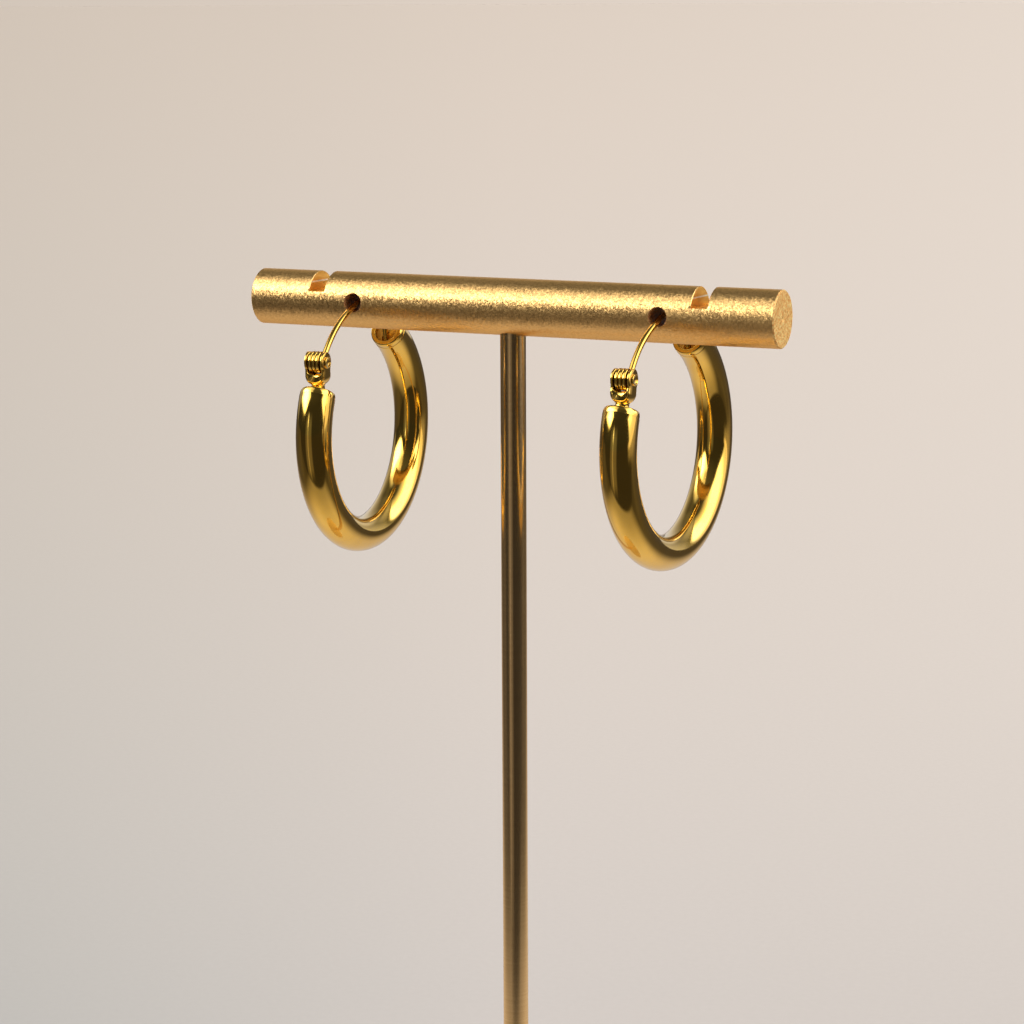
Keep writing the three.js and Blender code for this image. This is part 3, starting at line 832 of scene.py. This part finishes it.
# ---- the object -------------------------------------------------------------
STAND = "stand_and_wires"
piece("base_disc", [base_skin()], STAND, ["stand_base"], [MATT])
piece("post_rod", [post_skin()], STAND, ["stand_post"], [satin_gold()])
piece("crossbar", bar_patches(), STAND, ["stand_bar"],
      [BLASTED, drilled_wall_in_painted_shade(), sawn_gold(), BLASTED_END], crease=30.0)
for earring in (RIGHT, LEFT):
    side = earring["side"]
    body = f"{side}_hoop_body"
    piece(f"{side}_tube", [hoop_skin(earring)], body, [f"{side}_hoop"], RECESSED)
    piece(f"{side}_fork", [fork_skin(earring)], body, [], GOLD, crease=60.0)
    piece(f"{side}_solder_neck", [neck_skin(earring)], body, [], GOLD)
    piece(f"{side}_rivet", [pin_skin(earring)], body, [f"{side}_hinge_pin"], GOLD)
    piece(f"{side}_wire", [wire_skin(earring)], STAND, [f"{side}_ear_wire"], GOLD)
    piece(f"{side}_knuckle", [knuckle_skin(earring)], STAND, [], GROOVED, crease=70.0)

# ---- camera -----------------------------------------------------------------
EYE = np.array([119.40, -259.04, 148.45]) * MM
AZIMUTH, ELEVATION, ROLL = np.radians([24.784, 10.528, 0.254])
ahead = -np.array([math.sin(AZIMUTH) * math.cos(ELEVATION), -math.cos(AZIMUTH) * math.cos(ELEVATION),
                   math.sin(ELEVATION)])
across = unit(np.cross(ahead, [0, 0, 1]))
below = np.cross(ahead, across)
across, below = (math.cos(ROLL) * across + math.sin(ROLL) * below,
                 -math.sin(ROLL) * across + math.cos(ROLL) * below)
camera = placed("camera", bpy.data.cameras.new("camera"))
camera.data.lens = 97.35
camera.data.sensor_width = 36.0
camera.data.clip_start = 0.01
camera.data.clip_end = 200.0
pose = np.eye(4)
pose[:3, :3] = np.stack([across, -below, -ahead], -1)
pose[:3, 3] = EYE
camera.matrix_world = Matrix(pose.tolist())
bpy.context.scene.camera = camera
bpy.context.scene.view_settings.view_transform = "Standard"

# ---- floor and studio light -------------------------------------------------
# ACROSS and DEPTH are level directions of the paper sweep, which runs away from the viewer. A tone list
# runs from the viewer's left to the right; the tone lists paint the fall of light as shading, darker to the
# left and greyer near the viewer. A ramp is (from, to, value before, value after).
TURN = float(AZIMUTH)
ACROSS = (math.cos(TURN), math.sin(TURN), 0.0)
DEPTH = (-math.sin(TURN), math.cos(TURN), 0.0)
FAR_TONES = [(0.0, (0.625, 0.543, 0.467, 1)), (0.5, (0.708, 0.612, 0.532, 1)),
             (1.0, (0.752, 0.661, 0.585, 1))]
NEAR_TONES = [(0.0, (0.536, 0.512, 0.482, 1)), (0.5, (0.645, 0.592, 0.556, 1)),
              (1.0, (0.657, 0.60, 0.558, 1))]
PAPER = np.array([0.98, 1.02, 1.095])
PAPER_MIX = dict(side_soften=0.12, inverse_distance=(2.52, 0.0, 0.0, 1.0), nearest=0.1, swell=0.22,
                 fibre=0.01)
SIDE_SPREAD = 0.185
FAR_STRENGTH = 1.04

# What polished metal sees of the floor, in metres, as painted light that the floor gives off: a strip that
# starts just in front of the base, and the far part under the right-hand light.
STRIP = dict(middle=0.008, widens=(0.0, 0.4, 1.0, 2.2), fades=(0.055, 0.185, 1.0, 0.09),
             starts=(-0.107, -0.093, 0.0, 0.27), rises=(-0.095, 0.015, 0.0, 0.36),
             peaks=(0.0, 0.06, 1.22, 1.0), falls=(0.06, 0.3, 1.0, 0.72), least=0.04)
UNDER_RIGHT = dict(sides=(86, 8, 143, 3), near=(0.6, 1.1, 0.0, 0.3), far=(1.5, 2.6, 0.0, 0.9))
FLOOR_COLUMN_FROM = (0.11, 0.2, 0.0, 1.0)

# Each light's sides are (left edge, its softness, right edge, its softness) in degrees round the stand, and
# its heights are (degrees of rise, brightness) stops. Bearings run from the front to the right, and those
# of the sweep, its wing and its corner run from straight behind.
LEFT_LIGHT = dict(sides=(-86, 12, -8, 6), heights=[(10, 1.5), (22, 4.6), (35, 5.0), (42, 1.9), (50, 1.0),
                                                   (62, 0.6), (74, 0.05)])
LEFT_GAIN = (-46, -20, 1.5, 0.5)
LEFT_EDGE = [(-110, -70, 4.0, 12.0), (-45, -5, 0.0, 22.0)]
UPPER_LIGHT = dict(sides=(-64, 10, -3, 7), heights=[(44, 0), (54, 0.5), (66, 0.45), (76, 0)])
RIGHT_LIGHT = dict(sides=(66, 9, 143, 2.5), heights=[(-2, 0.9), (5, 1.3), (14, 3.2), (40, 3.4), (52, 1.2),
                                                     (62, 0.6), (72, 0.03)])
RIGHT_EDGE = [(56, 92, 26.0, -5.0), (100, 140, 0.0, -3.0)]
EDGE_SOFT = 7.0
GAP = dict(sides=(-12.5, 1.2, -8.0, 1.2), heights=[(5, 0), (13, 1.8), (20, 0)])
SWEEP = dict(sides=(-30, 8, 38, 6), heights=[(-10, 0.62), (12, 0.62), (30, 0.3), (46, 0.05)])
WING = dict(sides=(-60, 6, -30, 8), heights=[(-5, 0.2), (15, 0.42), (32, 0.12), (46, 0)])
CORNER = dict(sides=(40, 5, 58, 5), heights=[(-5, 0.7), (5, 0.5), (20, 0.22), (35, 0.36), (50, 0.45),
                                             (64, 0.3), (75, 0.03)])
ROOM = [(-5, 0.033), (25, 0.04), (48, 0.09), (62, 0.11), (75, 0.06), (90, 0.05)]
COLUMN = dict(dim=(-25, 5, 12, 4), dim_level=0.13, streak=(-12.5, 1.5, -7.5, 1.5), streak_level=0.28,
              heights=[(-5, 1.0), (10, 1.0), (20, 0.0)])


def sideways(f, vector, soften):
    """How far to the right a place or direction lies, from 0 to 1: across / sqrt(depth^2 + soften^2)."""
    depth = f.dot(vector, DEPTH)
    length = f.math("SQRT", f.total(f.times(depth, depth), soften ** 2))
    return f.ramp(f.math("DIVIDE", f.dot(vector, ACROSS), length), -SIDE_SPREAD, SIDE_SPREAD, 0.0, 1.0)


def span(f, value, low, low_soft, high, high_soft):
    """1 between low and high, falling smoothly to 0 over each edge's softness."""
    enter = f.ramp(value, low - low_soft, low + low_soft, 0.0, 1.0, smooth=True)
    leave = f.ramp(value, high - high_soft, high + high_soft, 1.0, 0.0, smooth=True)
    return f.times(enter, leave)


def bearing(f, place):
    """A place's compass turn about the stand, in degrees from the front."""
    x, y, _ = f.add("ShaderNodeSeparateXYZ", _0=place).outputs
    return f.math("DEGREES", f.math("ARCTAN2", x, f.times(y, -1.0)))


def front_column(f, turn):
    """The dim light from the room in front of the stand, with a brighter streak down it."""
    dim = f.times(span(f, turn, *COLUMN["dim"]), COLUMN["dim_level"])
    return f.total(dim, f.times(span(f, turn, *COLUMN["streak"]), COLUMN["streak_level"]))


def paper_tone_and_painted_falloff(f, place):
    """Pale paper with fine fibres, with the fall of light painted into its colour as shading: a little greyer
    near the viewer and brighter to the right. Its tone goes from near to far by 1 / distance, and swells by
    1 + s far (1 - far) on the way."""
    offset = f.vector("SUBTRACT", place, (float(EYE[0]), float(EYE[1]), 0.0))
    side = sideways(f, offset, PAPER_MIX["side_soften"])
    distance = f.math("MAXIMUM", f.length(offset), PAPER_MIX["nearest"])
    far = f.ramp(f.math("DIVIDE", 1.0, distance), *PAPER_MIX["inverse_distance"])
    tone = f.blend(far, f.colours(side, NEAR_TONES), f.colours(side, FAR_TONES))
    thin, thick = PAPER * (1 - PAPER_MIX["fibre"]), PAPER * (1 + PAPER_MIX["fibre"])
    paper = f.colours(f.noise(place, 900.0, 3.0), [(0.3, (*thin, 1)), (0.7, (*thick, 1))])
    swell = f.total(f.times(far, f.math("SUBTRACT", 1.0, far), PAPER_MIX["swell"]), 1.0)
    return f.scaled(f.blend(1.0, tone, paper, "MULTIPLY"), swell)


def paper_glow(f, place):
    """How strongly the floor glows to polished metal, as painted light: the strip, which fades out at its
    sides and towards the front, the front column from just outside the base, and the part under the
    right-hand light."""
    depth = f.dot(place, DEPTH)
    aside = f.math("ABSOLUTE", f.math("SUBTRACT", f.dot(place, ACROSS), STRIP["middle"]))
    aside = f.math("DIVIDE", aside, f.ramp(depth, *STRIP["widens"]))
    front = f.total(f.ramp(depth, *STRIP["starts"], smooth=True), f.ramp(depth, *STRIP["rises"], smooth=True))
    strip = f.times(f.ramp(aside, *STRIP["fades"], smooth=True), front,
                    f.ramp(depth, *STRIP["peaks"]), f.ramp(depth, *STRIP["falls"]))
    turn = bearing(f, place)
    away = f.length(place)
    column = f.times(f.ramp(away, *FLOOR_COLUMN_FROM, smooth=True), front_column(f, turn))
    reach = f.total(f.ramp(away, *UNDER_RIGHT["near"], smooth=True),
                    f.ramp(away, *UNDER_RIGHT["far"], smooth=True))
    return f.total(strip, STRIP["least"], column, f.times(span(f, turn, *UNDER_RIGHT["sides"]), reach))


def pale_paper():
    """The floor's paper: plain diffuse to the eye, and to polished metal a glowing strip, an emission that
    paints the lit floor's reflection.
    """
    material, f, place = new_finish("pale_paper_floor")
    seen = f.add("ShaderNodeBsdfDiffuse", Color=paper_tone_and_painted_falloff(f, place))
    # Painted light: the floor glows, seen only in glossy reflections.
    glow = f.add("ShaderNodeEmission", Color=(1.0, 0.85, 0.72, 1), Strength=paper_glow(f, place))
    mirrored = f.add("ShaderNodeLightPath").outputs["Is Glossy Ray"]
    either = f.add("ShaderNodeMixShader", _0=mirrored, _1=seen.outputs[0], _2=glow.outputs[0])
    f.add("ShaderNodeOutputMaterial", Surface=either.outputs[0])
    return material


def heights(f, rise, stops):
    """Brightness by angle of rise, from (degrees, level) stops. The ramp holds tenths of each level."""
    ramp = [((degrees + 90) / 180, (level / 10,) * 3 + (1,)) for degrees, level in stops]
    return f.times(f.colours(f.ramp(rise, -90, 90, 0.0, 1.0), ramp), 10.0)


def above(f, rise, turn, steps, smooth):
    """1 above an edge whose height in degrees is the sum of ramps round the room, falling to 0 over
    EDGE_SOFT above it."""
    edge = f.total(*(f.ramp(turn, *step, smooth=smooth) for step in steps))
    return f.ramp(f.math("SUBTRACT", rise, edge), 0.0, EDGE_SOFT, 0.0, 1.0, smooth=True)


def studio():
    """The light round the stand by direction: a wide soft light high on the left with a fainter one over
    it, a larger one on the right, a lit sweep behind with a dim wing and a corner beside it, a thin gap of
    light in front, and dark room between them. The eye sees the far paper instead."""
    world = bpy.data.worlds.new("studio")
    bpy.context.scene.world = world
    world.use_nodes = True
    f = Finish(world.node_tree)
    way = f.add("ShaderNodeTexCoord").outputs["Generated"]
    rise = f.math("DEGREES", f.math("ARCSINE", f.dot(way, (0.0, 0.0, 1.0))))
    turn = bearing(f, way)
    behind = f.math("DEGREES", f.math("ARCTAN2", f.dot(way, ACROSS), f.dot(way, DEPTH)))

    def lit(bearings, light):
        """A light's brightness: 1 between its sides times its brightness at this height."""
        return f.times(span(f, bearings, *light["sides"]), heights(f, rise, light["heights"]))

    left = f.times(lit(turn, LEFT_LIGHT), above(f, rise, turn, LEFT_EDGE, True),
                   f.ramp(turn, *LEFT_GAIN, smooth=True))
    right = f.times(lit(turn, RIGHT_LIGHT), above(f, rise, turn, RIGHT_EDGE, False))
    column = f.times(front_column(f, turn), heights(f, rise, COLUMN["heights"]))
    level = f.total(heights(f, rise, ROOM), left, lit(turn, UPPER_LIGHT), right, column, lit(turn, GAP),
                    lit(behind, SWEEP), lit(behind, WING), lit(behind, CORNER))
    light = f.add("ShaderNodeBackground", Color=(1.0, 0.955, 0.88, 1), Strength=level)
    # The eye's far paper carries the same painted shading, darker to the left.
    far = f.colours(sideways(f, way, 0.01), FAR_TONES)
    seen = f.add("ShaderNodeBackground", Color=far, Strength=FAR_STRENGTH)
    eye = f.add("ShaderNodeLightPath").outputs["Is Camera Ray"]
    either = f.add("ShaderNodeMixShader", _0=eye, _1=light.outputs[0], _2=seen.outputs[0])
    f.add("ShaderNodeOutputWorld", Surface=either.outputs[0])


studio()
spokes = around(96)
rings = np.array([0.0, 0.2, 0.6, 2.0, 8.0, 60.0])[:, None]
sheet = stacked(rings * np.cos(spokes), rings * np.sin(spokes), 0.0)
floor_mesh = bpy.data.meshes.new("floor")
floor_mesh.from_pydata(sheet.reshape(-1, 3).tolist(), [], quads(len(rings), len(spokes)).tolist())
floor_mesh.materials.append(pale_paper())
floor = placed("floor", floor_mesh)
